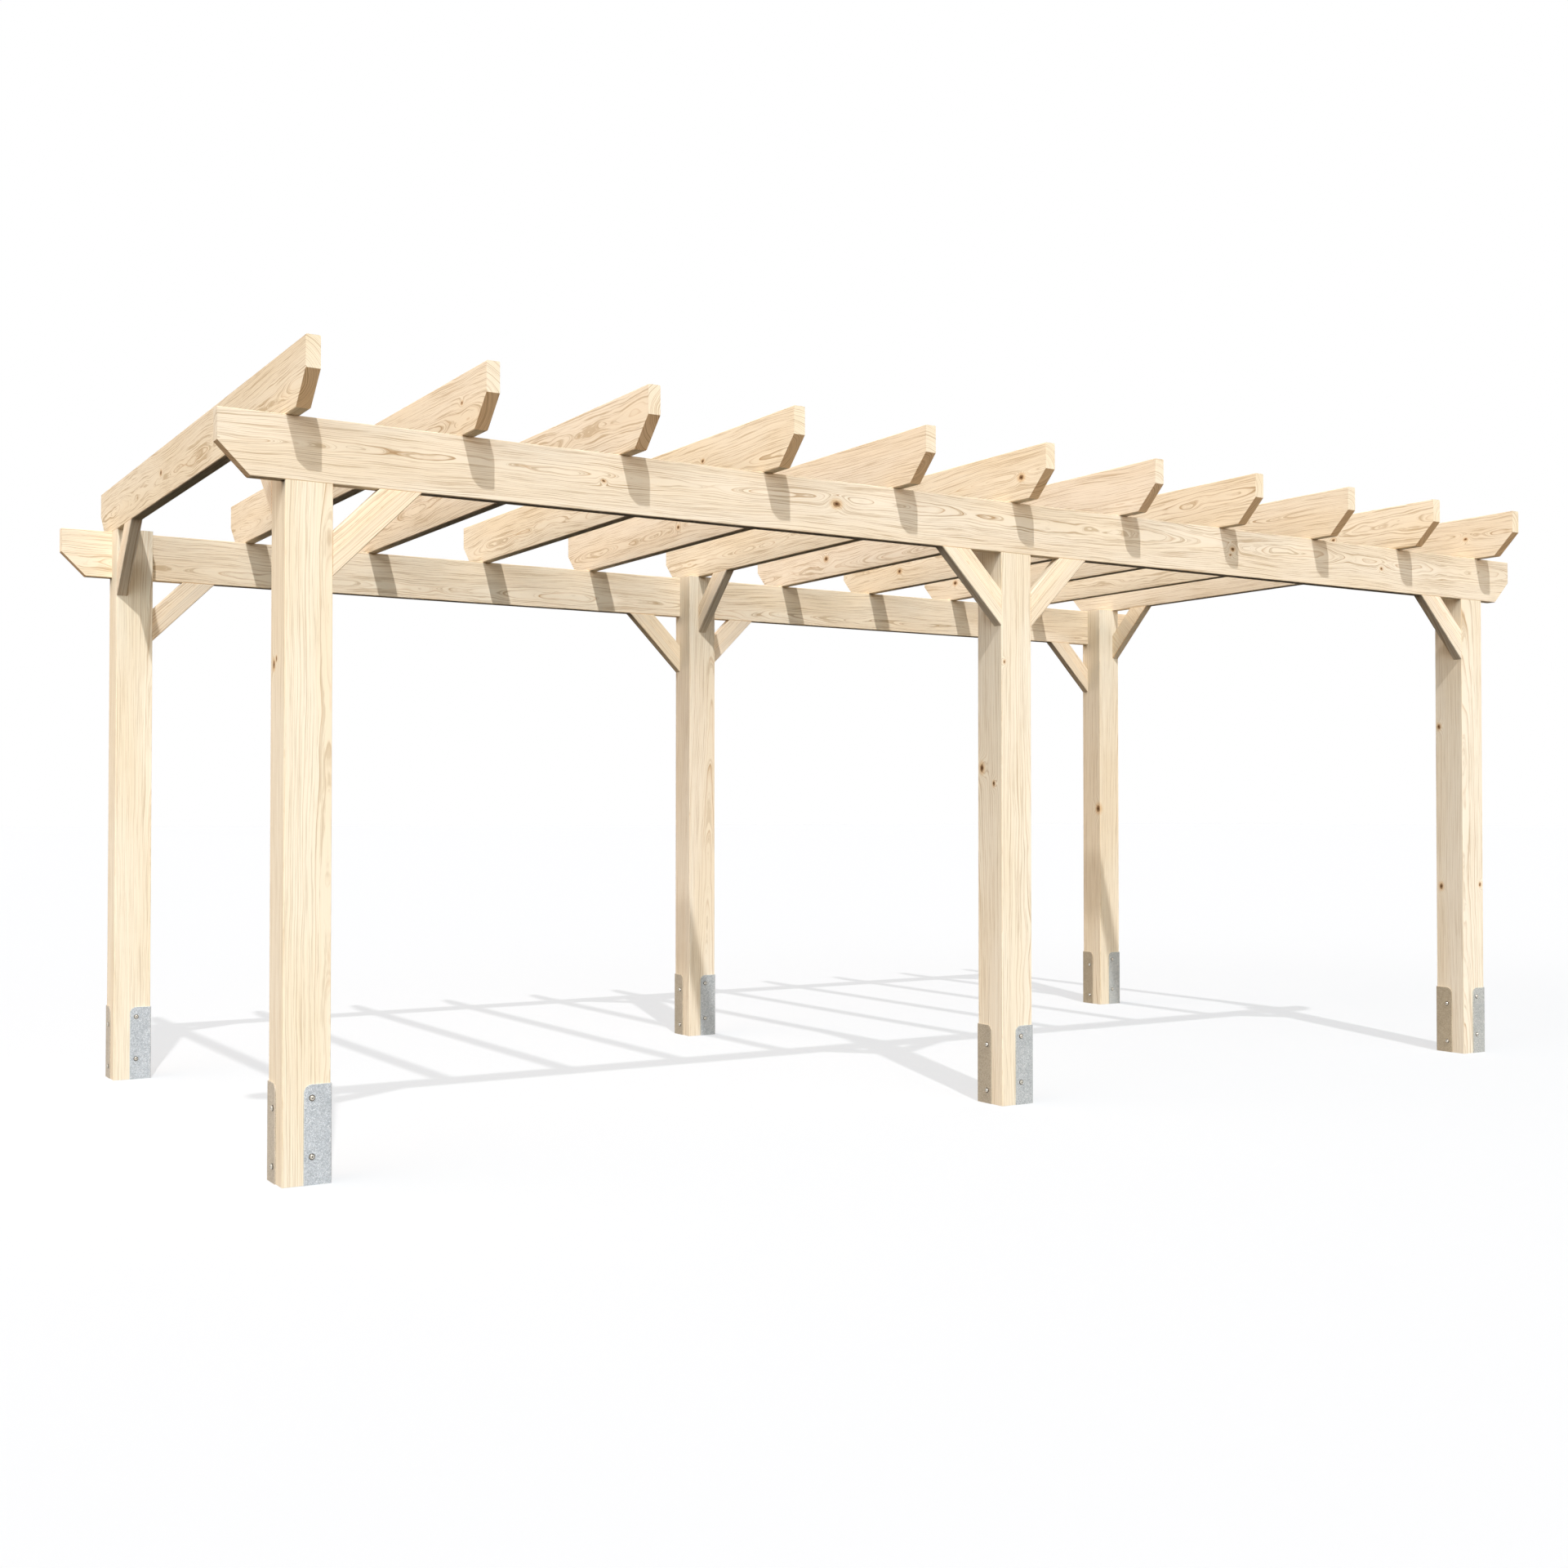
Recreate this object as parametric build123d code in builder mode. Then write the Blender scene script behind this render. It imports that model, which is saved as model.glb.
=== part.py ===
from build123d import *
import math
import os

# Timber pergola: rebated posts, beams let in flush, rafters laid across, corner braces, steel foot brackets.
# Millimetres, +Z up. The origin is on the ground under the middle of the frame.
# +X runs along the beams to the right, and the front is at -Y.

# Beams, one along the front and one along the rear
beam_length = 6000
beam_depth = 195
beam_thickness = 44
beam_overhang = 200  # from the outer side of a corner post to the beam's end
beam_end_cut = 97.5  # leg of the 45 degree cut under each end
beam_arris = 2.5  # leg of the chamfer along each long edge

# Rafters, laid on edge across both beams
rafter_count = 11
rafter_length = 3000
rafter_depth = 195
rafter_thickness = 44
rafter_overhang = 200  # from the outer face of a post to the rafter's end
rafter_end_cut = 97.5
rafter_arris = 2.5

# Posts, three in each row
post_width = 145
post_height = 2300  # ground to the underside of the rafters
post_edge_radius = 3

# Braces, at 45 degrees between a post and the timber above it
brace_width = 95
brace_thickness = 44
brace_reach = 280  # from the corner to the brace's lower edge, along both timbers
brace_arris = 2.5
mitre_share = math.sqrt(2)  # length of a 45 degree mitre, of the width that it crosses

# Foot brackets, bent from steel strip, two at opposite corners of each post
bracket_height = 300
bracket_leg = 81  # from the post's corner to the free edge
bracket_thickness = 4
bracket_corner_radius = 25
bend_share = 0.75  # inside radius of the bend, of the post's edge radius
screw_hole_diameter = 11
screw_hole_inset = 24  # from the free edge of a leg
screw_hole_spacing = 175
face_leg_hole_height = 85  # lower hole in the leg on the post's front or rear face
side_leg_hole_height = 50  # lower hole in the leg on the post's side

cut_overrun = 10

# Places that follow from the sizes above
frame_half_length = beam_length / 2 - beam_overhang  # middle to the outer side of a corner post
frame_half_depth = rafter_length / 2 - rafter_overhang  # middle to the outer face of a post
beam_underside = post_height - beam_depth
beam_y = frame_half_depth - beam_thickness / 2
post_x = frame_half_length - post_width / 2
post_y = frame_half_depth - post_width / 2
rafter_x = frame_half_length - rafter_thickness / 2
rafter_spacing = 2 * rafter_x / (rafter_count - 1)
end_brace_x = frame_half_length - brace_thickness / 2
brace_y = frame_half_depth - brace_thickness / 2

rows = {"front": -1, "rear": 1}
places = {"left": -1, "middle": 0, "right": 1}

os.makedirs("parts", exist_ok=True)


def make_post(name, x, y, outward):
    """A square post, rebated at the head on its outward face so that the beam lies flush in it."""
    with BuildPart() as post:
        with BuildSketch(Plane((x, y, 0))):
            RectangleRounded(post_width, post_width, post_edge_radius)
        extrude(amount=post_height)
        rebate_y = y + outward * (post_width / 2 - beam_thickness)
        with BuildSketch(Plane((x, rebate_y, beam_underside), x_dir=(outward, 0, 0))):
            Rectangle(post_width + cut_overrun, beam_thickness + cut_overrun, align=(Align.CENTER, Align.MIN))
        extrude(amount=beam_depth + cut_overrun, mode=Mode.SUBTRACT)
    post.part.label = name
    export_step(post.part, f"parts/{name}.step")


def make_plank(name, plane, length, depth, thickness, end_cut, arris):
    """A plank on edge: the plane's x runs along it and its y runs up from the middle of the underside."""
    half = length / 2
    with BuildPart() as plank:
        with BuildSketch(plane):
            with BuildLine():
                Polyline(
                    (-half + end_cut, 0),
                    (half - end_cut, 0),
                    (half, end_cut),
                    (half, depth),
                    (-half, depth),
                    (-half, end_cut),
                    close=True,
                )
            make_face()
        extrude(amount=thickness / 2, both=True)
        long_edges = plank.edges().filter_by(Axis(plane.origin, plane.x_dir))
        chamfer(long_edges, length=arris)
    plank.part.label = name
    export_step(plank.part, f"parts/{name}.step")


def make_brace(name, plane):
    """A brace mitred at both ends: the plane's origin is in the corner and its x runs away from the post."""
    mitre = brace_width * mitre_share
    with BuildPart() as brace:
        with BuildSketch(plane):
            with BuildLine():
                Polyline(
                    (0, -brace_reach),
                    (brace_reach, 0),
                    (brace_reach - mitre, 0),
                    (0, mitre - brace_reach),
                    close=True,
                )
            make_face()
        extrude(amount=brace_thickness / 2, both=True)
        long_edges = brace.edges().filter_by(Axis(plane.origin, plane.x_dir + plane.y_dir))
        chamfer(long_edges, length=brace_arris)
    brace.part.label = name
    export_step(brace.part, f"parts/{name}.step")


def make_bracket(name, corner):
    """An angle bracket: the plane's origin is the post's corner, with the post at its +x and -y."""
    bend_radius = post_edge_radius * bend_share
    hole_x = bracket_leg - screw_hole_inset
    face_middle = face_leg_hole_height + screw_hole_spacing / 2
    side_middle = side_leg_hole_height + screw_hole_spacing / 2
    face_origin = corner.from_local_coords((hole_x, bracket_thickness, face_middle))
    side_origin = corner.from_local_coords((-bracket_thickness, -hole_x, side_middle))
    face_leg = Plane(face_origin, x_dir=corner.x_dir, z_dir=corner.y_dir)
    side_leg = Plane(side_origin, x_dir=corner.y_dir, z_dir=-corner.x_dir)
    with BuildPart() as bracket:
        with BuildSketch(corner):
            with BuildLine():
                Polyline(
                    (0, 0),
                    (bracket_leg, 0),
                    (bracket_leg, bracket_thickness),
                    (-bracket_thickness, bracket_thickness),
                    (-bracket_thickness, -bracket_leg),
                    (0, -bracket_leg),
                    close=True,
                )
            make_face()
        extrude(amount=bracket_height)
        free_corners = bracket.edges().group_by(Axis.Z)[-1].sort_by(SortBy.LENGTH)[:2]
        fillet(free_corners, radius=bracket_corner_radius)
        inside, outside = bracket.edges().filter_by(Axis.Z).sort_by_distance(corner.origin)[:2]
        fillet(inside, radius=bend_radius)
        fillet(outside, radius=bend_radius + bracket_thickness)
        with Locations(face_leg, side_leg):
            with GridLocations(screw_hole_spacing, screw_hole_spacing, 1, 2):
                Hole(screw_hole_diameter / 2)
    bracket.part.label = name
    export_step(bracket.part, f"parts/{name}.step")


# Posts with their foot brackets
for row, outward in rows.items():
    for place, side in places.items():
        x = side * post_x
        y = outward * post_y
        make_post(f"post_{row}_{place}", x, y, outward)
        for corner_name, turn in {"front": -1, "rear": 1}.items():
            corner = Plane((x - turn * post_width / 2, y + turn * post_width / 2, 0), x_dir=(turn, 0, 0))
            make_bracket(f"foot_bracket_{row}_{place}_{corner_name}", corner)

# Beams
for row, outward in rows.items():
    plane = Plane((0, outward * beam_y, beam_underside), x_dir=(1, 0, 0), z_dir=(0, -1, 0))
    make_plank(f"beam_{row}", plane, beam_length, beam_depth, beam_thickness, beam_end_cut, beam_arris)

# Rafters, numbered from the left
for i in range(rafter_count):
    plane = Plane((i * rafter_spacing - rafter_x, 0, post_height), x_dir=(0, 1, 0), z_dir=(1, 0, 0))
    name = f"rafter_{i + 1:02d}"
    make_plank(name, plane, rafter_length, rafter_depth, rafter_thickness, rafter_end_cut, rafter_arris)

# Braces under the beams: one inward from each corner post and one to each side of a middle post
for row, outward in rows.items():
    for place, side in places.items():
        for direction_name, direction in {"left": -1, "right": 1}.items():
            if direction != side:
                post_side_x = side * post_x + direction * post_width / 2
                corner = (post_side_x, outward * brace_y, beam_underside)
                plane = Plane(corner, x_dir=(direction, 0, 0), z_dir=(0, -direction, 0))
                make_brace(f"beam_brace_{row}_{place}_{direction_name}", plane)

# Braces under the rafters: one inward from each post, under the rafter that the post carries
for row, outward in rows.items():
    for place, side in places.items():
        corner = (side * end_brace_x, outward * (frame_half_depth - post_width), post_height)
        plane = Plane(corner, x_dir=(0, -outward, 0), z_dir=(-outward, 0, 0))
        make_brace(f"rafter_brace_{row}_{place}", plane)
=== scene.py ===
import math
import random

import bmesh
import bpy
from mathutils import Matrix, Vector


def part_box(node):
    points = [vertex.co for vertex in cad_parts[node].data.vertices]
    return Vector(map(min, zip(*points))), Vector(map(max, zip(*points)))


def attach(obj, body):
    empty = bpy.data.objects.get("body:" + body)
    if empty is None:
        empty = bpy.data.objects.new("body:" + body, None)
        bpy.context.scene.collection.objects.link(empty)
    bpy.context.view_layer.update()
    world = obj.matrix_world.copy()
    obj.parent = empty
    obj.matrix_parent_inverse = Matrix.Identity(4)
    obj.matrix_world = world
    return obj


# A planed softwood pergola with galvanised foot brackets, in metres, standing on a plain white floor.

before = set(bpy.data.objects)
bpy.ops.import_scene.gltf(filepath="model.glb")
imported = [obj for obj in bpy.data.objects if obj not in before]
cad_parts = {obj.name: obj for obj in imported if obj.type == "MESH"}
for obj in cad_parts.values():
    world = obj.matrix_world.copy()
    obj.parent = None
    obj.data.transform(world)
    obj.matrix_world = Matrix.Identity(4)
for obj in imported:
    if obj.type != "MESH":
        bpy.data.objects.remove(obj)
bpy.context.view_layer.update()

# Sun: the way that its light travels, its strength and its width in the sky
SUN_TRAVEL = Vector((0.33, 1.0, -1.3))
SUN_STRENGTH = 2.27
SUN_ANGLE = math.radians(0.9)

# Soft lights around the object: bearing from +X, sine of the height, spread of that sine, and strength
SKY_LIGHTS = (
    (math.radians(-127), 0.42, 0.22, (1.62, 2.3, 2.7)),
    (math.radians(-67), 0.0, 0.16, (6.4, 4.8, 3.4)),
    (math.radians(-7), 0.0, 0.16, (0.9, 1.0, 1.1)),
    (math.radians(53), 0.15, 0.16, (6.6, 6.0, 5.3)),
    (math.radians(173), 0.42, 0.22, (4.1, 3.25, 2.65)),
)
SKY_LIGHT_FOCUS = 4.0  # a higher value makes each light narrower from side to side

# Floor: its glow and its shaded white as they are seen, and the dark tone that bounced light meets
FLOOR_HALF = 150.0
FLOOR_DROP = 0.0005
FLOOR_GLOW = (0.564, 0.579, 0.600, 1.0)
FLOOR_SHADE = (0.335, 0.335, 0.335, 1.0)
FLOOR_BOUNCE = (0.006, 0.005, 0.004, 1.0)

# Camera, placed as in the photograph
CAMERA_PLACE = (-4.2782, -6.4720, 1.1075)
CAMERA_PITCH = math.radians(0.987)
CAMERA_YAW = math.radians(31.984)
CAMERA_LENS = 39.965
CAMERA_SENSOR = 36.0

# Sockets of the colour mixing node
MIX_FACTOR, MIX_FIRST, MIX_SECOND = 0, 6, 7
MIX_RESULT = 2

RAMP_MIDDLE = 0.5
NOISE_MIDDLE = (0.5, 0.5, 0.5)


class Graph:
    """Adds nodes to one node tree.

    An input given as a socket is linked, and anything else is its value.
    """

    def __init__(self, tree):
        self.tree = tree

    def feed(self, socket, value):
        if isinstance(value, bpy.types.NodeSocket):
            self.tree.links.new(value, socket)
        else:
            socket.default_value = value

    def node(self, kind, inputs=(), **settings):
        node = self.tree.nodes.new(kind)
        for name, value in settings.items():
            setattr(node, name, value)
        for name, value in dict(inputs).items():
            self.feed(node.inputs[name], value)
        return node

    def math(self, operation, *values, clamp=False):
        node = self.node("ShaderNodeMath", enumerate(values), operation=operation, use_clamp=clamp)
        return node.outputs[0]

    def vector(self, operation, *values):
        node = self.node("ShaderNodeVectorMath", enumerate(values), operation=operation)
        return node.outputs["Value" if operation in ("LENGTH", "DOT_PRODUCT") else "Vector"]

    def combine(self, x, y, z):
        return self.node("ShaderNodeCombineXYZ", {"X": x, "Y": y, "Z": z}).outputs[0]

    def even(self, value):
        """A vector or colour with the same value three times."""
        return self.combine(value, value, value)

    def separate(self, vector):
        return self.node("ShaderNodeSeparateXYZ", {"Vector": vector}).outputs

    def noise(self, vector, stretch, detail=2.0, roughness=0.5, dimensions="3D"):
        inputs = {"Scale": 1.0, "Detail": detail, "Roughness": roughness}
        inputs["Vector"] = self.vector("MULTIPLY", vector, stretch)
        return self.node("ShaderNodeTexNoise", inputs, noise_dimensions=dimensions)

    def swing(self, vector, **noise):
        """A vector that swings about zero from place to place."""
        return self.vector("SUBTRACT", self.noise(vector, **noise).outputs["Color"], NOISE_MIDDLE)

    def step(self, value, low, high):
        inputs = {"Value": value, "From Min": low, "From Max": high}
        return self.node("ShaderNodeMapRange", inputs, interpolation_type="SMOOTHSTEP").outputs["Result"]

    def scale(self, value, low, high):
        """Turns 0 to 1 into low to high."""
        node = self.node("ShaderNodeMapRange", {"Value": value, "To Min": low, "To Max": high})
        return node.outputs["Result"]

    def ramp(self, value, stops):
        node = self.node("ShaderNodeValToRGB", {"Fac": value})
        elements = node.color_ramp.elements
        while len(elements) < len(stops):
            elements.new(RAMP_MIDDLE)
        for element, (place, colour) in zip(elements, stops):
            element.position = place
            element.color = colour
        return node.outputs["Color"]

    def mix(self, factor, first, second, blend="MIX"):
        node = self.node("ShaderNodeMix", data_type="RGBA", blend_type=blend)
        self.feed(node.inputs[MIX_FACTOR], factor)
        self.feed(node.inputs[MIX_FIRST], first)
        self.feed(node.inputs[MIX_SECOND], second)
        return node.outputs[MIX_RESULT]


def grey(value):
    return (value, value, value, 1.0)


def new_group(name, inputs, outputs):
    """A shader node group with the given sockets: returns its tree, its inputs and its output node."""
    tree = bpy.data.node_groups.new(name, "ShaderNodeTree")
    for socket, kind in inputs.items():
        tree.interface.new_socket(socket, in_out="INPUT", socket_type=kind)
    for socket, kind in outputs.items():
        tree.interface.new_socket(socket, in_out="OUTPUT", socket_type=kind)
    given = tree.nodes.new("NodeGroupInput").outputs
    result = tree.nodes.new("NodeGroupOutput")
    return tree, given, result


def new_material(name):
    material = bpy.data.materials.new(name)
    material.use_nodes = True
    material.node_tree.nodes.clear()
    graph = Graph(material.node_tree)
    shader = graph.node("ShaderNodeBsdfPrincipled")
    graph.node("ShaderNodeOutputMaterial", {"Surface": shader.outputs[0]})
    return material, graph, shader


# Timber: growth rings around a pith that wanders along the board, cut by the board's own faces

VECTOR, FLOAT, COLOUR = "NodeSocketVector", "NodeSocketFloat", "NodeSocketColor"

# Tones of the planed wood, as shares of red, green and blue
SPRUCE = (0.87, 0.775, 0.63)
POST_SPRUCE = (0.875, 0.80, 0.67)
# The rear beam is made lighter as painted light, against the shade it gets behind the front of the frame;
# the front beam is a little darker than the other boards
BEAM_TONE_AND_PAINTED_LIGHT = {"beam_front": (0.83, 0.75, 0.63), "beam_rear": (0.94, 0.82, 0.655)}
BRACE_LEVEL = 1.02
TONE_LEVELS = (0.975, 1.025)
TONE_WARMTHS = (0.98, 1.02)

# What darkens or warms that tone
LATEWOOD = (0.71, 0.575, 0.44, 1.0)
FINE_LINE = (0.72, 0.64, 0.54, 1.0)
DRIFT_TINT = (0.97, 0.94, 0.89, 1.0)
SAWN_END = (1.02, 1.03, 1.03, 1.0)
# Sloping sawn ends: partly the warmer tone of sawn wood, partly painted warm bounce light that lifts
# their red
SAWN_SLOPE_TONE_AND_LIGHT = (1.12, 0.95, 0.76, 1.0)
KNOT_HALO = (0.88, 0.74, 0.57, 1.0)
# Paler arrises: partly wear, partly a painted highlight
ARRIS_WEAR_AND_HIGHLIGHT = (1.10, 1.07, 1.02, 1.0)
BRUISE_TINT = (0.80, 0.70, 0.58, 1.0)

# Growth rings: how the pith wanders and ripples, how the rings swell around a knot,
# and how uneven their width and strength are
CROSSWISE = (0.0, 1.0, 1.0)
WANDER_NOISE = {"stretch": (0.95, 3.2, 3.2), "detail": 2.0, "roughness": 0.40}
RIPPLE_NOISE = {"stretch": (6.5, 21.0, 21.0), "detail": 1.0}
RIPPLE_SHARE = 0.12  # of the wander
KNOT_SWELL = 0.021
KNOT_SWELL_FALL = -0.14
UNEVEN_NOISE = {"stretch": (0.7, 42.0, 0.0), "detail": 1.0, "dimensions": "2D"}
UNEVEN_TURNS = 1.5
RING_SHAPE = (
    (0.0, grey(0.0)),
    (0.60, grey(0.04)),
    (0.82, grey(0.30)),
    (0.92, grey(1.0)),
    (0.96, grey(0.55)),
    (1.0, grey(0.0)),
)
RING_STRENGTHS = (0.28, 1.1)
RING_STRENGTH_POWER = 1.4

# Slow drifts of tone, fine lines along the rings and fibres along the board
DRIFT_NOISE = {"stretch": (1.0, 6.0, 6.0), "detail": 1.5}
DRIFT_STEP = (0.38, 0.66)
PATCH_STRENGTHS = (0.20, 1.60)
LINE_NOISE = {"stretch": (2.6, 290.0, 0.0), "detail": 4.0, "roughness": 0.72, "dimensions": "2D"}
LINE_STEP = (0.52, 0.62)
LINE_SHADES = (1.05, 0.95)
FIBRE_NOISE = {"stretch": (5.0, 420.0, 420.0), "detail": 2.0, "roughness": 0.6}
FIBRE_SHADES = (0.93, 1.07)

# Knots, by the distance from their middle, which is 1 at the rim
KNOT_SHAPE = (
    (0.0, (0.050, 0.024, 0.012, 1.0)),
    (0.30, (0.12, 0.060, 0.030, 1.0)),
    (0.60, (0.30, 0.18, 0.095, 1.0)),
    (0.85, (0.36, 0.22, 0.12, 1.0)),
    (1.0, (0.22, 0.12, 0.06, 1.0)),
)
KNOT_STEP = (0.82, 1.10)
HALO_STEP = (0.9, 2.4)
KNOT_LENGTHWISE = 0.7  # share of a distance along the board that counts, which makes knots long
RAGGED_NOISE = {"stretch": (70, 70, 70), "detail": 1.0}
RAGGED_REACH = (0.006, 0.006, 0.006)
NO_KNOT = 9.0

# Sawn ends and slopes, by how far a face looks along the board
END_STEP = (0.80, 0.95)
SLOPE_STEP = (0.40, 0.60)

# Arrises, by the distance from the board's edge, with nicks
NICK_NOISE = {"stretch": (20.0, 110.0, 110.0)}
NICK_REACH = (-0.003, 0.003)
ARRIS_STEP = (0.0012, 0.0070)
ARRIS_SHARE = 0.6
BRUISE_STEP = (0.58, 0.72)
BRUISE_SHARE = 0.5

# Sheen and relief
FIBRE_ROUGHNESS = (0.74, 0.92)
LATEWOOD_ROUGHNESS = -0.08
SAWN_ROUGHNESS = 0.12
TIMBER_SPECULAR = 0.02
TIMBER_RELIEF = {"Strength": 0.30, "Distance": 0.0008}


def make_board_group():
    """A board's own coordinates, along, across and up, and the same with a ragged shift for the knots."""
    tree, given, result = new_group(
        "board_coordinates",
        {"Centre": VECTOR, "Along": VECTOR, "Across": VECTOR, "Up": VECTOR},
        {"Board": VECTOR, "Ragged": VECTOR},
    )
    g = Graph(tree)
    place = g.vector("SUBTRACT", g.node("ShaderNodeTexCoord").outputs["Object"], given["Centre"])
    axes = ("Along", "Across", "Up")
    board = g.combine(*(g.vector("DOT_PRODUCT", place, given[axis]) for axis in axes))
    shift = g.vector("MULTIPLY", g.swing(place, **RAGGED_NOISE), RAGGED_REACH)
    g.feed(result.inputs["Board"], board)
    g.feed(result.inputs["Ragged"], g.vector("ADD", board, shift))
    return tree


def make_knot_group():
    """Lowers a running distance to that of one more knot, which is 1 at the knot's rim."""
    tree, given, result = new_group(
        "knot",
        {"Ragged": VECTOR, "Place": VECTOR, "Reach": VECTOR, "Distance": FLOAT},
        {"Distance": FLOAT},
    )
    g = Graph(tree)
    offset = g.vector("SUBTRACT", given["Ragged"], given["Place"])
    distance = g.vector("LENGTH", g.vector("MULTIPLY", offset, given["Reach"]))
    g.feed(result.inputs["Distance"], g.math("MINIMUM", distance, given["Distance"]))
    return tree


def make_timber_group():
    """The look of planed softwood at a place in a board."""
    tree, given, result = new_group(
        "planed_softwood",
        {
            "Board": VECTOR, "Along": VECTOR, "Half": VECTOR, "Seed": VECTOR, "Pith": VECTOR,
            "Tilt": VECTOR, "Ring": FLOAT, "Wander": FLOAT, "Figure": FLOAT, "Grain": FLOAT,
            "Tone": COLOUR, "Knot": FLOAT,
        },
        {"Color": COLOUR, "Roughness": FLOAT, "Normal": VECTOR},
    )
    g = Graph(tree)
    board = given["Board"]
    seeded = g.vector("ADD", board, given["Seed"])
    along = g.separate(seeded)[0]
    run = g.separate(board)[0]

    # Distance from a pith that leans and wanders, swollen around knots
    wander = g.vector("MULTIPLY", g.swing(seeded, **WANDER_NOISE), g.even(given["Wander"]))
    sway = g.math("MULTIPLY", given["Wander"], RIPPLE_SHARE)
    ripple = g.vector("MULTIPLY", g.swing(seeded, **RIPPLE_NOISE), g.combine(0.0, sway, sway))
    pith = g.vector("ADD", given["Pith"], g.vector("MULTIPLY", given["Tilt"], g.even(run)))
    from_pith = g.vector("ADD", g.vector("SUBTRACT", board, pith), g.vector("ADD", wander, ripple))
    radius = g.vector("LENGTH", g.vector("MULTIPLY", from_pith, CROSSWISE))
    knot_square = g.math("MULTIPLY", given["Knot"], given["Knot"])
    near_knot = g.math("EXPONENT", g.math("MULTIPLY", knot_square, KNOT_SWELL_FALL))
    radius = g.math("ADD", radius, g.math("MULTIPLY", near_knot, KNOT_SWELL))

    # Growth rings of uneven width and strength
    on_ring = g.combine(along, radius, 0.0)
    uneven = g.noise(on_ring, **UNEVEN_NOISE).outputs["Fac"]
    even_turns = g.math("DIVIDE", radius, given["Ring"])
    turns = g.math("ADD", even_turns, g.math("MULTIPLY", uneven, UNEVEN_TURNS))
    ring_seed = g.vector("ADD", given["Seed"], g.combine(g.math("FLOOR", turns), 0.0, 0.0))
    ring_strength = g.node("ShaderNodeTexWhiteNoise", {"Vector": ring_seed}).outputs["Value"]
    ring_strength = g.scale(g.math("POWER", ring_strength, RING_STRENGTH_POWER), *RING_STRENGTHS)
    drift, patch, _ = g.separate(g.noise(seeded, **DRIFT_NOISE).outputs["Color"])
    late = g.math("MULTIPLY", g.ramp(g.math("FRACT", turns), RING_SHAPE), ring_strength)
    late = g.math("MULTIPLY", late, g.scale(patch, *PATCH_STRENGTHS))
    late = g.math("MULTIPLY", late, given["Figure"], clamp=True)

    # Slow drifts of tone, latewood, fine lines along the rings and fibres along the board
    lines = g.noise(on_ring, **LINE_NOISE).outputs["Fac"]
    fibre = g.noise(seeded, **FIBRE_NOISE).outputs["Fac"]
    fine = g.math("MULTIPLY", g.step(lines, *LINE_STEP), given["Grain"])
    shade = g.math("MULTIPLY", g.scale(fibre, *FIBRE_SHADES), g.scale(lines, *LINE_SHADES))
    colour = g.mix(g.step(drift, *DRIFT_STEP), given["Tone"], DRIFT_TINT, "MULTIPLY")
    colour = g.mix(late, colour, LATEWOOD, "MULTIPLY")
    colour = g.mix(fine, colour, FINE_LINE, "MULTIPLY")
    colour = g.mix(1.0, colour, g.even(shade), "MULTIPLY")

    # Knots with a warm halo
    halo = g.math("SUBTRACT", 1.0, g.step(given["Knot"], *HALO_STEP))
    colour = g.mix(halo, colour, KNOT_HALO, "MULTIPLY")
    knot = g.math("SUBTRACT", 1.0, g.step(given["Knot"], *KNOT_STEP))
    colour = g.mix(knot, colour, g.ramp(given["Knot"], KNOT_SHAPE))

    # Sawn ends, straight and sloping; the sloping ones warmer, partly as the tone of sawn wood and partly
    # as painted warm bounce light
    normal = g.node("ShaderNodeNewGeometry").outputs["Normal"]
    facing = g.math("ABSOLUTE", g.vector("DOT_PRODUCT", normal, given["Along"]))
    end = g.step(facing, *END_STEP)
    slope = g.math("SUBTRACT", g.step(facing, *SLOPE_STEP), end)
    colour = g.mix(end, colour, SAWN_END, "MULTIPLY")
    colour = g.mix(slope, colour, SAWN_SLOPE_TONE_AND_LIGHT, "MULTIPLY")

    # Arrises, a little paler, partly from wear and partly as a painted highlight where the edge catches
    # the light, and bruised here and there
    inset = g.vector("SUBTRACT", given["Half"], g.vector("ABSOLUTE", board))
    _, inset_across, inset_up = g.separate(inset)
    nick = g.noise(seeded, **NICK_NOISE).outputs["Fac"]
    arris = g.math("ADD", g.math("MAXIMUM", inset_across, inset_up), g.scale(nick, *NICK_REACH))
    arris = g.math("SUBTRACT", 1.0, g.step(arris, *ARRIS_STEP))
    colour = g.mix(g.math("MULTIPLY", arris, ARRIS_SHARE), colour, ARRIS_WEAR_AND_HIGHLIGHT, "MULTIPLY")
    bruise = g.math("MULTIPLY", arris, g.step(nick, *BRUISE_STEP))
    colour = g.mix(g.math("MULTIPLY", bruise, BRUISE_SHARE), colour, BRUISE_TINT, "MULTIPLY")

    # Sheen and relief
    late_sheen = g.math("MULTIPLY", late, LATEWOOD_ROUGHNESS)
    roughness = g.math("ADD", late_sheen, g.scale(fibre, *FIBRE_ROUGHNESS))
    sawn = g.math("MULTIPLY", g.math("ADD", end, slope), SAWN_ROUGHNESS)
    bump = g.node("ShaderNodeBump", {**TIMBER_RELIEF, "Height": lines})

    g.feed(result.inputs["Color"], colour)
    g.feed(result.inputs["Roughness"], g.math("ADD", roughness, sawn, clamp=True))
    g.feed(result.inputs["Normal"], bump.outputs["Normal"])
    return tree


board_group = make_board_group()
knot_group = make_knot_group()
timber_group = make_timber_group()

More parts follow.
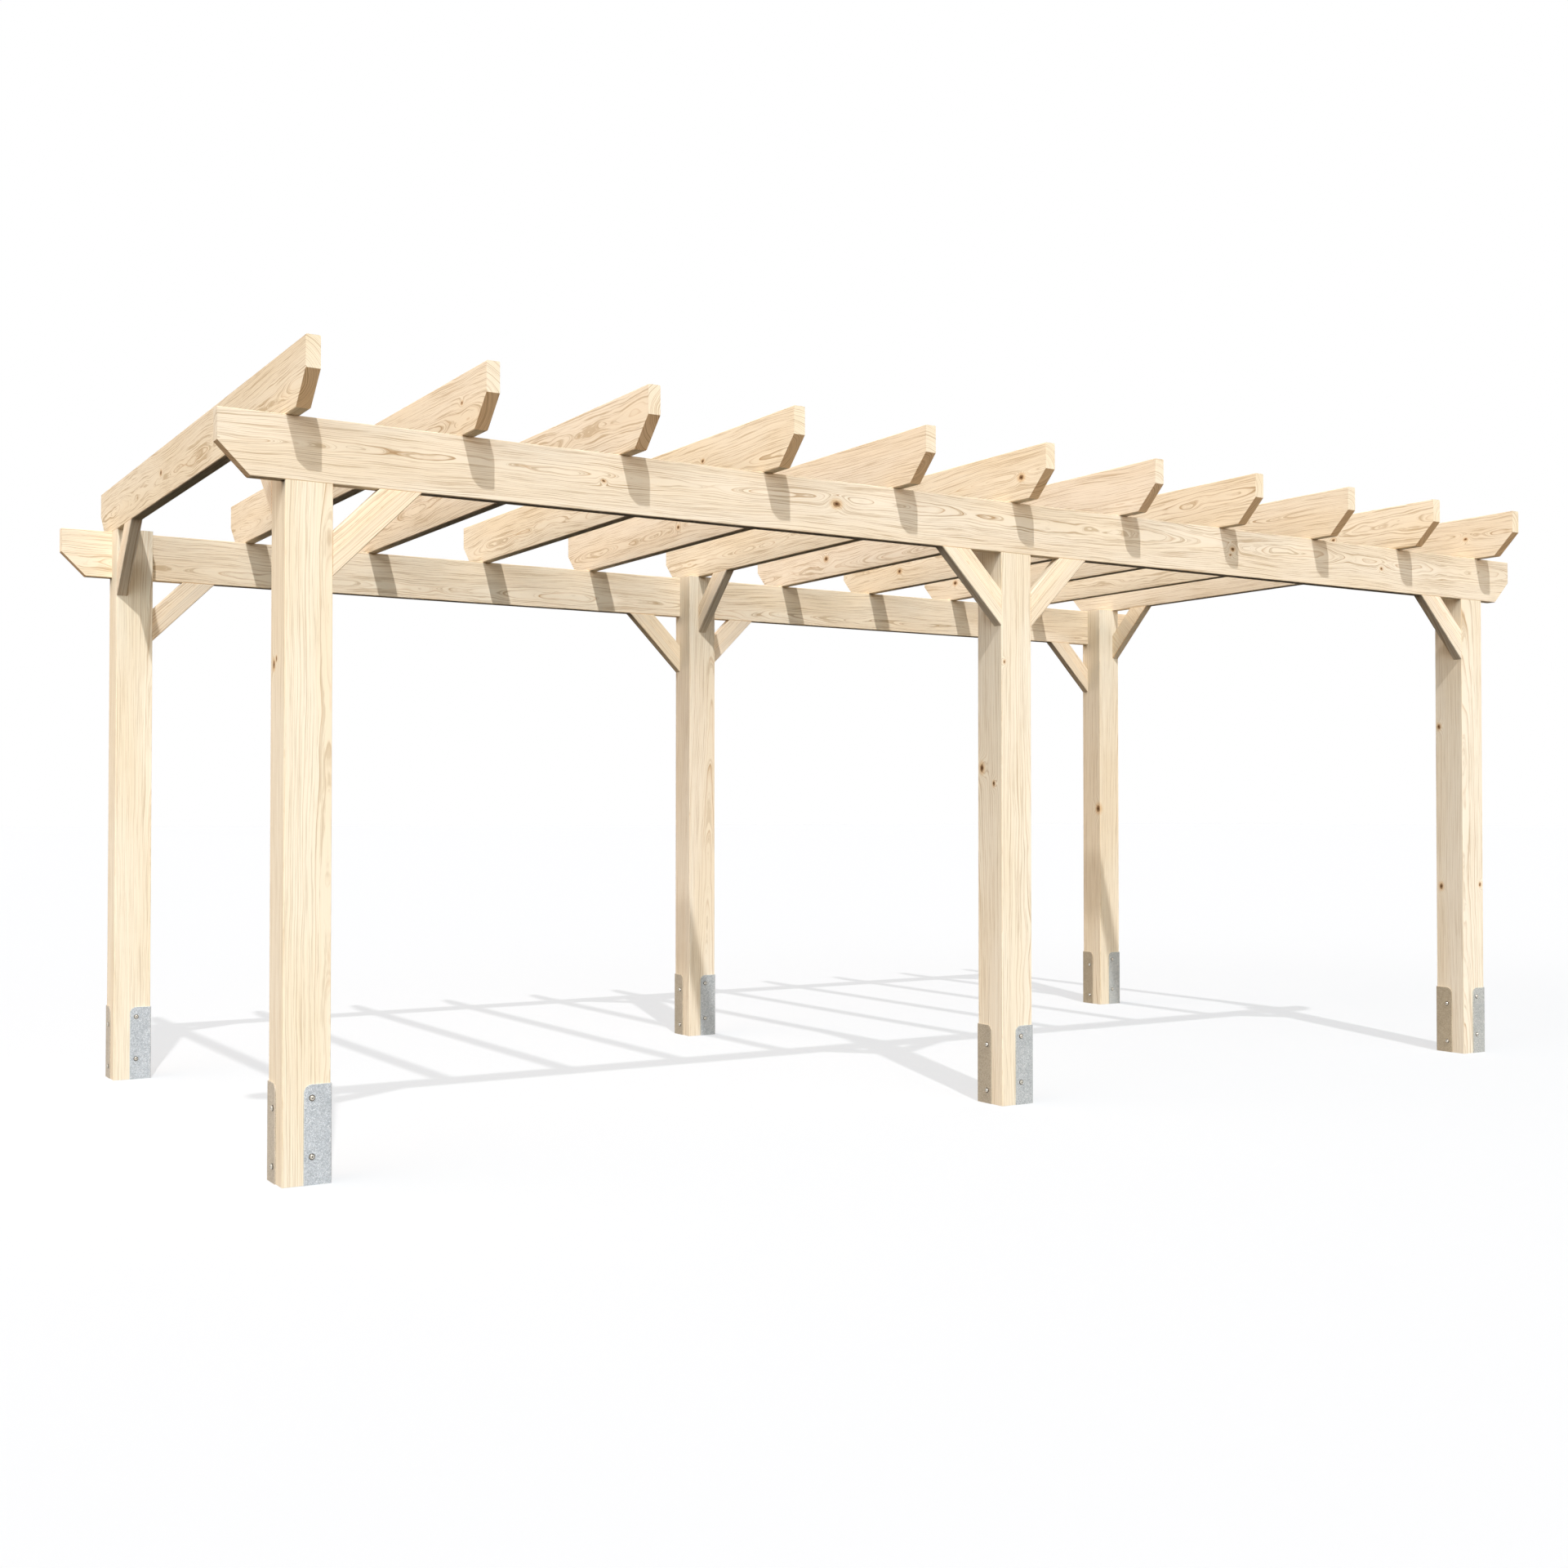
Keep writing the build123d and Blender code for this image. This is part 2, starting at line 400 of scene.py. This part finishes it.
# Knots that show in the photograph: place in metres, then radius
KNOTS = {
    "post_front_left": ((-2.800, -1.190, 1.560, 0.009), (-2.800, -1.216, 1.576, 0.005)),
    "post_front_middle": (
        (-0.058, -1.300, 1.687, 0.004), (-0.0725, -1.252, 1.224, 0.006), (-0.0725, -1.180, 1.285, 0.011),
    ),
    "post_front_right": (
        (2.655, -1.174, 1.517, 0.008), (2.655, -1.182, 0.770, 0.009), (2.777, -1.300, 0.779, 0.006),
    ),
    "post_rear_right": ((2.655, 1.170, 1.139, 0.014),),
    "beam_front": (
        (-1.750, -1.300, 2.206, 0.004), (-0.826, -1.300, 2.217, 0.011), (1.167, -1.300, 2.216, 0.007),
        (1.153, -1.300, 2.191, 0.004), (2.101, -1.300, 2.204, 0.005),
    ),
    "rafter_01": ((-2.800, 0.348, 2.399, 0.008),),
    "rafter_02": ((-2.244, -1.298, 2.403, 0.005),),
    "rafter_04": ((-1.133, -0.868, 2.413, 0.006),),
    "rafter_05": ((-0.578, 0.344, 2.386, 0.008),),
    "rafter_06": ((-0.022, -1.358, 2.386, 0.010),),
    "rafter_07": ((0.534, 0.833, 2.391, 0.010),),
    "rafter_08": ((1.089, 0.973, 2.387, 0.010),),
    "rafter_09": ((1.645, 1.216, 2.391, 0.010),),
    "rafter_10": ((2.200, -0.946, 2.387, 0.006),),
    "rafter_11": ((2.756, -1.251, 2.397, 0.006),),
}

# Rings of each kind of board: the pith's place and lean, the width of a ring, and how strongly they show
POST_RINGS = {
    "pith_across": (0.12, 0.19), "pith_up": (0.03, 0.11),
    "lean_across": (0.010, 0.022), "lean_up": (-0.02, 0.02),
    "ring": (0.0050, 0.0066), "wander": 0.05, "figure": 1.05, "grain": 0.52,
}
BRACE_RINGS = {
    "pith_across": (0.03, 0.06), "pith_up": (0.08, 0.13),
    "lean_across": None, "lean_up": (-0.03, 0.03),
    "ring": (0.0050, 0.0065), "wander": 0.03, "figure": 1.15, "grain": 0.55,
}
BEAM_RINGS = {
    "pith_across": (0.05, 0.08), "pith_up": (-0.05, 0.05),
    "lean_across": (0.008, 0.012), "lean_up": (-0.012, 0.012),
    "ring": (0.0042, 0.0055), "wander": 0.09, "figure": 1.15, "grain": 0.90,
}
RAFTER_RINGS = {**BEAM_RINGS, "lean_across": (0.008, 0.020), "figure": 1.0}
BRACE_HALF_THICKNESS = 0.022
BRACE_HALF_WIDTH = 0.0475
SEED_REACH = 40


def make_timber(name, look):
    """One board's material: its own rings, knots and tone in the shared timber group."""
    material, g, shader = new_material("timber_" + name)
    along = Vector(look["along"])
    across = Vector(look["across"])
    up = along.cross(across)
    low, high = (Vector(corner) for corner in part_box(name))
    centre = (low + high) / 2
    axes = {"Centre": centre, "Along": along, "Across": across, "Up": up}
    board = g.node("ShaderNodeGroup", node_tree=board_group)
    for socket, value in axes.items():
        g.feed(board.inputs[socket], value)

    distance = NO_KNOT
    for *place, radius in KNOTS.get(name, ()):
        offset = Vector(place) - centre
        knot = g.node("ShaderNodeGroup", node_tree=knot_group)
        g.feed(knot.inputs["Ragged"], board.outputs["Ragged"])
        g.feed(knot.inputs["Place"], [offset.dot(axis) for axis in (along, across, up)])
        g.feed(knot.inputs["Reach"], (KNOT_LENGTHWISE / radius, 1 / radius, 1 / radius))
        g.feed(knot.inputs["Distance"], distance)
        distance = knot.outputs["Distance"]

    timber = g.node("ShaderNodeGroup", node_tree=timber_group)
    g.feed(timber.inputs["Board"], board.outputs["Board"])
    g.feed(timber.inputs["Along"], along)
    g.feed(timber.inputs["Knot"], distance)
    for value in ("half", "seed", "pith", "tilt", "ring", "wander", "figure", "grain", "tone"):
        g.feed(timber.inputs[value.capitalize()], look[value])
    for socket, target in {"Color": "Base Color", "Roughness": "Roughness", "Normal": "Normal"}.items():
        g.feed(shader.inputs[target], timber.outputs[socket])
    shader.inputs["Specular IOR Level"].default_value = TIMBER_SPECULAR
    return material


def board_look(name):
    """The direction, rings and tone of a board, drawn from its name."""
    draw = random.Random("look " + name)
    low, high = (Vector(corner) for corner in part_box(name))
    size = high - low
    side = draw.choice((-1, 1))
    lift = draw.choice((-1, 1))
    pith_lift = lift
    look = {"seed": [draw.uniform(-SEED_REACH, SEED_REACH) for _ in range(3)]}
    if name.startswith("post"):
        rings = POST_RINGS
        tone = POST_SPRUCE
        look.update(along=(0, 0, 1), across=(0, 1, 0), half=(size.z / 2, size.y / 2, size.x / 2))
    elif "brace" in name:
        rings = BRACE_RINGS
        tone = [channel * BRACE_LEVEL for channel in SPRUCE]
        lean = 1 if name.endswith("right") or name.startswith("rafter_brace_front") else -1
        if name.startswith("beam_brace"):
            look.update(along=Vector((lean, 0, 1)).normalized(), across=(0, 1, 0))
        else:
            look.update(along=Vector((0, lean, 1)).normalized(), across=(1, 0, 0))
        look.update(half=(size.z / 2, BRACE_HALF_THICKNESS, BRACE_HALF_WIDTH))
    else:
        run = 0 if name.startswith("beam") else 1
        rings = RAFTER_RINGS if run else BEAM_RINGS
        tone = BEAM_TONE_AND_PAINTED_LIGHT.get(name, SPRUCE)
        pith_lift = 1
        look.update(along=(1 - run, run, 0), across=(run, 1 - run, 0))
        look.update(half=(size[run] / 2, size[1 - run] / 2, size.z / 2))
    pith_across = side * draw.uniform(*rings["pith_across"])
    pith_up = pith_lift * draw.uniform(*rings["pith_up"])
    lean_across = lift * draw.uniform(*rings["lean_across"]) if rings["lean_across"] else 0.0
    lean_up = draw.uniform(*rings["lean_up"])
    look.update(pith=(0.0, pith_across, pith_up), tilt=(0.0, lean_across, lean_up))
    look.update(ring=draw.uniform(*rings["ring"]))
    look.update({value: rings[value] for value in ("wander", "figure", "grain")})
    level = draw.uniform(*TONE_LEVELS)
    warmth = draw.uniform(*TONE_WARMTHS)
    look["tone"] = (tone[0] * level, tone[1] * level, tone[2] * level * warmth, 1.0)
    return look


def dress_timbers():
    """Gives every post, beam, rafter and brace a material of its own."""
    for name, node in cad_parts.items():
        if not name.startswith("foot_bracket"):
            node.data.materials.clear()
            node.data.materials.append(make_timber(name, board_look(name)))


# Foot brackets: dark and light zinc spangle, flecks and a painted highlight along the edges, at a post's
# front and rear corners, and the share of those tones at the left, middle and right posts
SUNLIT_AND_SHADED_PLATE_TONES = {
    "front": ((0.37, 0.41, 0.45), (0.54, 0.585, 0.63), (0.90, 0.92, 0.94), (0.86, 0.86, 0.85)),
    # Painted shade: the rear corners get the same zinc made darker and warmer, for their side legs, which
    # get less sun than the front legs
    "rear": ((0.39, 0.335, 0.255), (0.51, 0.445, 0.35), (0.62, 0.55, 0.45), (0.92, 0.85, 0.74)),
}
PLATE_LEVELS = {"left": (1.0, 1.0, 1.0), "middle": (0.90, 0.885, 0.85), "right": (0.90, 0.86, 0.78)}
SPANGLE_SCALE = 230.0
SPANGLE_SHIFT_NOISE = {"stretch": (140, 140, 140)}
SPANGLE_SHIFT = (0.005, 0.005, 0.005)
SPECK_SCALE = 480.0
SPECK_STEP = (0.62, 0.90)
SPECK_STRENGTHS = (0.20, 0.85)
CLOUD_NOISE = {"stretch": (13, 13, 8), "detail": 3.0}
CLOUD_SHADES = (0.86, 1.12)
# Painted highlight along the plate's edges: its width, samples, step and share, and a lower roughness
# there
RIM_RADIUS = 0.003
RIM_SAMPLES = 6
RIM_STEP = (0.98, 0.82)
RIM_SHARE = 0.75
RIM_ROUGHNESS = -0.10
PLATE_ROUGHNESS = (0.46, 0.66)
PLATE_METALLIC = 0.30
PLATE_RELIEF = {"Strength": 0.20, "Distance": 0.0006}
SPANGLE_RELIEF_SHARE = 0.6


def make_galvanised(name, dark, light, fleck, rim):
    """Hot-dip galvanised plate: zinc spangle, pale flecks and a painted highlight along its edges."""
    material, g, shader = new_material(name)
    place = g.node("ShaderNodeTexCoord").outputs["Object"]
    shift = g.vector("MULTIPLY", g.noise(place, **SPANGLE_SHIFT_NOISE).outputs["Color"], SPANGLE_SHIFT)
    shaken = g.vector("ADD", place, shift)
    spangle = g.node("ShaderNodeTexVoronoi", {"Vector": shaken, "Scale": SPANGLE_SCALE}).outputs["Color"]
    flake, glint, _ = g.separate(spangle)
    grain = g.node("ShaderNodeTexVoronoi", {"Vector": shaken, "Scale": SPECK_SCALE}).outputs["Color"]
    speck = g.step(g.separate(grain)[1], *SPECK_STEP)
    cloud = g.noise(place, **CLOUD_NOISE).outputs["Fac"]
    colour = g.mix(flake, dark, light)
    colour = g.mix(g.math("MULTIPLY", speck, g.scale(cloud, *SPECK_STRENGTHS)), colour, fleck)
    colour = g.mix(1.0, colour, g.even(g.scale(cloud, *CLOUD_SHADES)), "MULTIPLY")
    normal = g.node("ShaderNodeNewGeometry").outputs["Normal"]
    rounded = g.node("ShaderNodeBevel", {"Radius": RIM_RADIUS}, samples=RIM_SAMPLES).outputs["Normal"]
    edge = g.step(g.vector("DOT_PRODUCT", normal, rounded), *RIM_STEP)
    # Painted highlight: the edges are paled towards the rim tone
    colour = g.mix(g.math("MULTIPLY", edge, RIM_SHARE), colour, rim)
    roughness = g.math("ADD", g.scale(glint, *PLATE_ROUGHNESS), g.math("MULTIPLY", edge, RIM_ROUGHNESS))
    relief = g.math("ADD", g.math("MULTIPLY", flake, SPANGLE_RELIEF_SHARE), speck)
    bump = g.node("ShaderNodeBump", {**PLATE_RELIEF, "Height": relief})
    g.feed(shader.inputs["Base Color"], colour)
    g.feed(shader.inputs["Roughness"], roughness)
    g.feed(shader.inputs["Normal"], bump.outputs["Normal"])
    shader.inputs["Metallic"].default_value = PLATE_METALLIC
    return material


def dress_brackets():
    """The brackets at the posts' front corners are bright, and those behind are a duller, warmer grey:
    the same zinc with painted shade.
    """
    plates = {}
    for place, level in PLATE_LEVELS.items():
        for corner, tones in SUNLIT_AND_SHADED_PLATE_TONES.items():
            shades = [(*(a * b for a, b in zip(tone, level)), 1.0) for tone in tones]
            plates[place, corner] = make_galvanised(f"galvanised_{place}_{corner}", *shades)
    for name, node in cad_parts.items():
        if name.startswith("foot_bracket"):
            place, corner = name.split("_")[3:]
            node.data.materials.clear()
            node.data.materials.append(plates[place, corner])


# Coach screws in the foot brackets: rings of radius and height that make a flange, a dome on it,
# and a lobed drive in the dome's top
SCREW_FLANGE = ((0.0095, 0.0), (0.0095, 0.0011), (0.0091, 0.0015), (0.0074, 0.0019))
SCREW_DOME = ((0.0072, 0.0033), (0.0065, 0.0047), (0.0051, 0.0058), (0.0030, 0.0064))
SCREW_DRIVE = ((0.0022, 0.0065), (0.0021, 0.0048))
SCREW_LOBES = 6
SCREW_LOBE_SHARE = 0.16
SCREW_SEGMENTS = 24

# Their places in a bracket: from the free edge of a leg, up from the ground, and from one to the next
SCREW_INSET = 0.024
SCREW_SPACING = 0.175
FACE_LEG_SCREW = 0.085
SIDE_LEG_SCREW = 0.050
BRACKET_THICKNESS = 0.004

# Their zinc: tone and range of roughness. The flange and the drive recess are painted dark, as painted
# shade and a painted dark reflection, on the same zinc as the dome
DOME_ZINC = (0.66, 0.62, 0.54, 1.0)
DOME_ROUGHNESS = (0.20, 0.36)
PAINTED_SHADE_ZINC = (0.13, 0.11, 0.085, 1.0)
FLANGE_ROUGHNESS = (0.35, 0.55)
ZINC_PATCH_NOISE = {"stretch": (160, 160, 160), "detail": 3.0}
ZINC_PATCH_SHADES = (0.75, 1.2)
ZINC_SCRATCH_NOISE = {"stretch": (900, 900, 120)}
ZINC_SCRATCH_SHADES = (0.85, 1.12)
ZINC_RELIEF = {"Strength": 0.10, "Distance": 0.0003}
DOME_SLOT, PAINTED_SHADE_SLOT = 0, 1


def make_zinc(name, tone, low, high):
    """Zinc on the coach screws, dulled in patches, with the lowest and highest roughness."""
    material, g, shader = new_material(name)
    place = g.node("ShaderNodeTexCoord").outputs["Object"]
    patch = g.noise(place, **ZINC_PATCH_NOISE).outputs["Fac"]
    scratch = g.noise(place, **ZINC_SCRATCH_NOISE).outputs["Fac"]
    patch_shade = g.scale(patch, *ZINC_PATCH_SHADES)
    shade = g.math("MULTIPLY", patch_shade, g.scale(scratch, *ZINC_SCRATCH_SHADES))
    relief = g.node("ShaderNodeBump", {**ZINC_RELIEF, "Height": scratch})
    g.feed(shader.inputs["Base Color"], g.mix(1.0, tone, g.even(shade), "MULTIPLY"))
    g.feed(shader.inputs["Roughness"], g.scale(patch, high, low))
    g.feed(shader.inputs["Normal"], relief.outputs["Normal"])
    shader.inputs["Metallic"].default_value = 1.0
    return material


def add_screw(mesh, seat, outward, turn):
    """A screw head on its seat: a bright dome, and a flange and drive recess painted dark as painted
    shade and a painted dark reflection.
    """
    outward = Vector(outward)
    side = outward.cross(Vector((0, 0, 1)))
    rise = outward.cross(side)
    head = SCREW_FLANGE + SCREW_DOME
    rings = []
    for i, (radius, height) in enumerate(head + SCREW_DRIVE):
        lobe = SCREW_LOBE_SHARE if i >= len(head) else 0.0
        ring = []
        for k in range(SCREW_SEGMENTS):
            angle = 2 * math.pi * k / SCREW_SEGMENTS
            reach = radius * (1 + lobe * math.cos(SCREW_LOBES * angle))
            arm = side * math.cos(angle + turn) + rise * math.sin(angle + turn)
            ring.append(mesh.verts.new(seat + arm * reach + outward * height))
        rings.append(ring)
    for i, (lower, upper) in enumerate(zip(rings, rings[1:]), start=1):
        on_dome = len(SCREW_FLANGE) <= i <= len(head)
        for k in range(SCREW_SEGMENTS):
            face = mesh.faces.new((lower[k - 1], lower[k], upper[k], upper[k - 1]))
            face.smooth = on_dome
            # The flange and the drive recess take the zinc painted dark as shade and reflection
            face.material_index = DOME_SLOT if on_dome else PAINTED_SHADE_SLOT
    mesh.faces.new(rings[-1]).material_index = PAINTED_SHADE_SLOT
    mesh.faces.new(rings[0][::-1]).material_index = PAINTED_SHADE_SLOT


def make_screws():
    """Four coach screws in each foot bracket, one mesh for each post."""
    dome = make_zinc("zinc_screw_dome", DOME_ZINC, *DOME_ROUGHNESS)
    flange = make_zinc("zinc_screw_painted_shade", PAINTED_SHADE_ZINC, *FLANGE_ROUGHNESS)
    for row in ("front", "rear"):
        for place in ("left", "middle", "right"):
            draw = random.Random(f"screws {row} {place}")
            mesh = bmesh.new()
            low, high = (Vector(corner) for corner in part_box(f"post_{row}_{place}"))
            for end, sign in (("front", -1), ("rear", 1)):
                bracket_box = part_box(f"foot_bracket_{row}_{place}_{end}")
                bracket_low, bracket_high = (Vector(corner) for corner in bracket_box)
                corner = Vector((high.x, low.y, 0.0)) if sign < 0 else Vector((low.x, high.y, 0.0))
                leg = (bracket_high.x - bracket_low.x) - BRACKET_THICKNESS - SCREW_INSET
                for step in (0, 1):
                    rise = step * SCREW_SPACING
                    face = Vector((sign * leg, sign * BRACKET_THICKNESS, FACE_LEG_SCREW + rise))
                    side = Vector((-sign * BRACKET_THICKNESS, -sign * leg, SIDE_LEG_SCREW + rise))
                    add_screw(mesh, corner + face, (0, sign, 0), draw.uniform(0, math.pi))
                    add_screw(mesh, corner + side, (-sign, 0, 0), draw.uniform(0, math.pi))
            bmesh.ops.recalc_face_normals(mesh, faces=mesh.faces)
            data = bpy.data.meshes.new(f"coach_screws_{row}_{place}")
            mesh.to_mesh(data)
            mesh.free()
            data.materials.append(dome)
            data.materials.append(flange)
            piece = bpy.data.objects.new(data.name, data)
            bpy.context.scene.collection.objects.link(piece)
            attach(piece, "root")


# Surroundings

def seen_directly(graph):
    """1 for a camera, glossy or transmission ray, 0 for the light that bounces between surfaces."""
    path = graph.node("ShaderNodeLightPath").outputs
    seen = graph.math("MAXIMUM", path["Is Camera Ray"], path["Is Glossy Ray"])
    return graph.math("MAXIMUM", seen, path["Is Transmission Ray"])


def make_floor():
    """A white floor: to the eye it glows and takes shadows, and to bounced light it is dark."""
    data = bpy.data.meshes.new("floor")
    signs = ((-1, -1), (1, -1), (1, 1), (-1, 1))
    points = [(x * FLOOR_HALF, y * FLOOR_HALF, -FLOOR_DROP) for x, y in signs]
    data.from_pydata(points, [], [(0, 1, 2, 3)])
    material = bpy.data.materials.new("white_floor")
    material.use_nodes = True
    material.node_tree.nodes.clear()
    g = Graph(material.node_tree)
    glow = g.node("ShaderNodeEmission", {"Color": FLOOR_GLOW})
    shade = g.node("ShaderNodeBsdfDiffuse", {"Color": FLOOR_SHADE})
    seen = g.node("ShaderNodeAddShader", {0: glow.outputs[0], 1: shade.outputs[0]})
    bounce = g.node("ShaderNodeBsdfDiffuse", {"Color": FLOOR_BOUNCE})
    both = g.node("ShaderNodeMixShader", {0: seen_directly(g), 1: bounce.outputs[0], 2: seen.outputs[0]})
    g.node("ShaderNodeOutputMaterial", {"Surface": both.outputs[0]})
    data.materials.append(material)
    floor = bpy.data.objects.new("floor", data)
    bpy.context.scene.collection.objects.link(floor)


def make_sky():
    """White behind the object, and soft lights around it."""
    world = bpy.data.worlds.new("studio")
    bpy.context.scene.world = world
    world.use_nodes = True
    world.node_tree.nodes.clear()
    g = Graph(world.node_tree)
    x, y, height = g.separate(g.node("ShaderNodeTexCoord").outputs["Generated"])
    heading = g.vector("NORMALIZE", g.combine(x, y, 0.0))
    light = (0.0, 0.0, 0.0)
    for bearing, middle, spread, strength in SKY_LIGHTS:
        toward = (math.cos(bearing), math.sin(bearing), 0.0)
        # 1 towards the light and 0 away from it
        closeness = g.math("MULTIPLY_ADD", g.vector("DOT_PRODUCT", heading, toward), 0.5, 0.5)
        rise = g.math("DIVIDE", g.math("SUBTRACT", height, middle), spread)
        lobe = g.math("EXPONENT", g.math("MULTIPLY", g.math("MULTIPLY", rise, rise), -1.0))
        lobe = g.math("MULTIPLY", lobe, g.math("POWER", closeness, SKY_LIGHT_FOCUS))
        light = g.vector("ADD", light, g.vector("MULTIPLY", g.even(lobe), strength))
    soft = g.node("ShaderNodeBackground", {"Color": light})
    white = g.node("ShaderNodeBackground", {"Color": grey(1.0), "Strength": 1.0})
    both = g.node("ShaderNodeMixShader", {0: seen_directly(g), 1: soft.outputs[0], 2: white.outputs[0]})
    g.node("ShaderNodeOutputWorld", {"Surface": both.outputs[0]})


def make_sun():
    lamp = bpy.data.lights.new("sun", "SUN")
    lamp.energy = SUN_STRENGTH
    lamp.angle = SUN_ANGLE
    sun = bpy.data.objects.new("sun", lamp)
    sun.rotation_euler = SUN_TRAVEL.to_track_quat("-Z", "Y").to_euler()
    bpy.context.scene.collection.objects.link(sun)


def make_camera():
    lens = bpy.data.cameras.new("camera")
    lens.lens = CAMERA_LENS
    lens.sensor_width = CAMERA_SENSOR
    camera = bpy.data.objects.new("camera", lens)
    camera.location = CAMERA_PLACE
    camera.rotation_euler = (math.pi / 2 + CAMERA_PITCH, 0.0, -CAMERA_YAW)
    bpy.context.scene.collection.objects.link(camera)
    bpy.context.scene.camera = camera


dress_timbers()
dress_brackets()
make_screws()
make_floor()
make_sky()
make_sun()
make_camera()
bpy.context.scene.view_settings.view_transform = "Standard"
